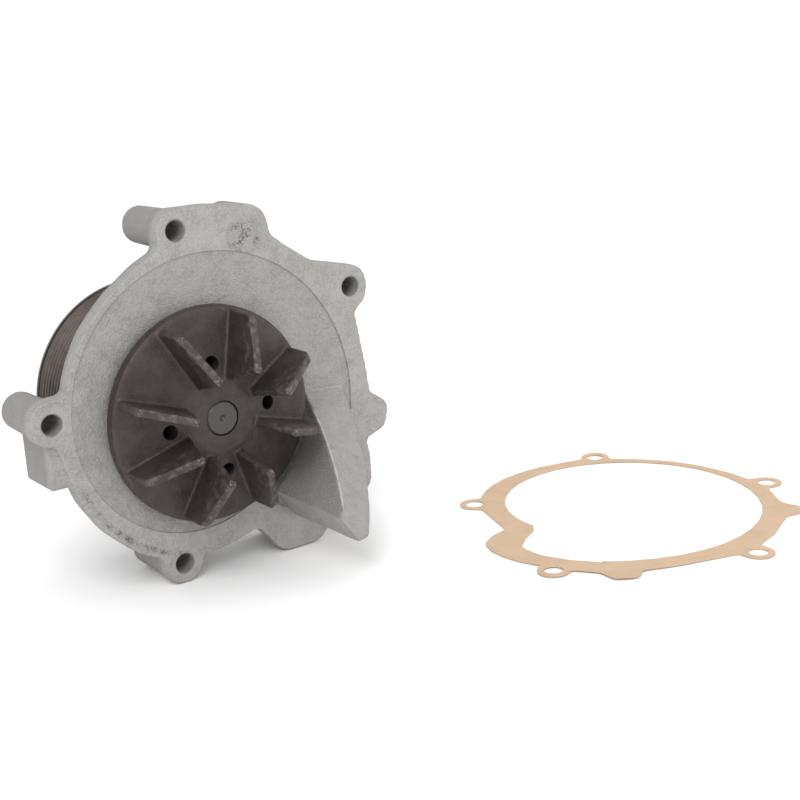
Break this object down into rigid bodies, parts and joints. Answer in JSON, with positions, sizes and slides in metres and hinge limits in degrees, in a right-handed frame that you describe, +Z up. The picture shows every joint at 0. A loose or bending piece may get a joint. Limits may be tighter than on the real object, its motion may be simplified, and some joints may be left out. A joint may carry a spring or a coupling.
{
  "type": "engine water pump",
  "caption": "Engine coolant pump: cast housing with a helical outlet ramp, open vaned impeller, ribbed belt pulley, shaft bearing and face seal, with its loose flange gasket.",
  "frame": {"origin": "centre of the footprint box of the pump and its loose gasket, on the surface they stand on", "axes": "+Z up; -Y along the shaft from the pulley to the impeller, out of the machined flange face; +X from the pump towards the gasket"},
  "size_m": [0.4282, 0.2819, 0.2036],
  "materials": {
    "cast_aluminium": "sand cast and blasted, with machined faces",
    "cast_iron": "dark brown-grey casting with worn edges",
    "ground_steel": "ground",
    "zinc_steel": "zinc plated",
    "dark_steel": "dark coated steel with a bright worn lip",
    "cage_brass": "machined",
    "black_rubber": "matt",
    "carbon": "lapped carbon graphite",
    "seat_ceramic": "lapped",
    "gasket_paper": "dry tan fibre"
  },
  "bodies": {
    "pump_body": {"housing": "cast_aluminium", "bearing_outer_ring": "ground_steel", "bearing_seal_front": "black_rubber", "bearing_seal_rear": "black_rubber", "seal_cup": "ground_steel", "seal_bellows": "black_rubber", "seal_spring": "ground_steel"},
    "rotor": {"shaft": "ground_steel", "impeller": "cast_iron", "pulley_hub": "ground_steel", "pulley": "dark_steel", "pulley_screw_1": "zinc_steel", "pulley_screw_2": "zinc_steel", "pulley_screw_3": "zinc_steel", "pulley_screw_4": "zinc_steel", "seal_seat": "seat_ceramic", "seat_boot": "black_rubber", "slinger": "black_rubber"},
    "ball_set": {"ball_cage": "cage_brass", "bearing_ball_1": "ground_steel", "bearing_ball_2": "ground_steel", "bearing_ball_3": "ground_steel", "bearing_ball_4": "ground_steel", "bearing_ball_5": "ground_steel", "bearing_ball_6": "ground_steel", "bearing_ball_7": "ground_steel", "bearing_ball_8": "ground_steel"},
    "roller_set": {"roller_cage": "cage_brass", "bearing_roller_1": "ground_steel", "bearing_roller_2": "ground_steel", "bearing_roller_3": "ground_steel", "bearing_roller_4": "ground_steel", "bearing_roller_5": "ground_steel", "bearing_roller_6": "ground_steel", "bearing_roller_7": "ground_steel", "bearing_roller_8": "ground_steel", "bearing_roller_9": "ground_steel"},
    "face_ring": {"carbon_face": "carbon"},
    "loose_gasket": {"gasket": "gasket_paper"}
  },
  "joints": [
    {"name": "rotor_spin", "type": "hinge", "parent": "pump_body", "child": "rotor", "pos_m": [-0.117, 0.0578, 0.0934], "axis": [0, -1, 0], "continuous": true},
    {"name": "ball_cage_spin", "type": "hinge", "parent": "pump_body", "child": "ball_set", "pos_m": [-0.117, 0.0578, 0.0934], "axis": [0, -1, 0], "continuous": true},
    {"name": "roller_cage_spin", "type": "hinge", "parent": "pump_body", "child": "roller_set", "pos_m": [-0.117, 0.0578, 0.0934], "axis": [0, -1, 0], "continuous": true},
    {"name": "face_float", "type": "slide", "parent": "pump_body", "child": "face_ring", "axis": [0, 1, 0], "range_m": [0, 0.0005], "stiffness_N_per_m": 500, "springref_m": -0.001},
    {"name": "gasket_lift", "type": "slide", "parent": "pump_body", "child": "loose_gasket", "axis": [0, 0, 1], "range_m": [0, 0.05]}
  ],
  "couplings": [
    {"joint": "ball_cage_spin", "follows": "rotor_spin", "ratio": 0.39},
    {"joint": "roller_cage_spin", "follows": "rotor_spin", "ratio": 0.39}
  ]
}
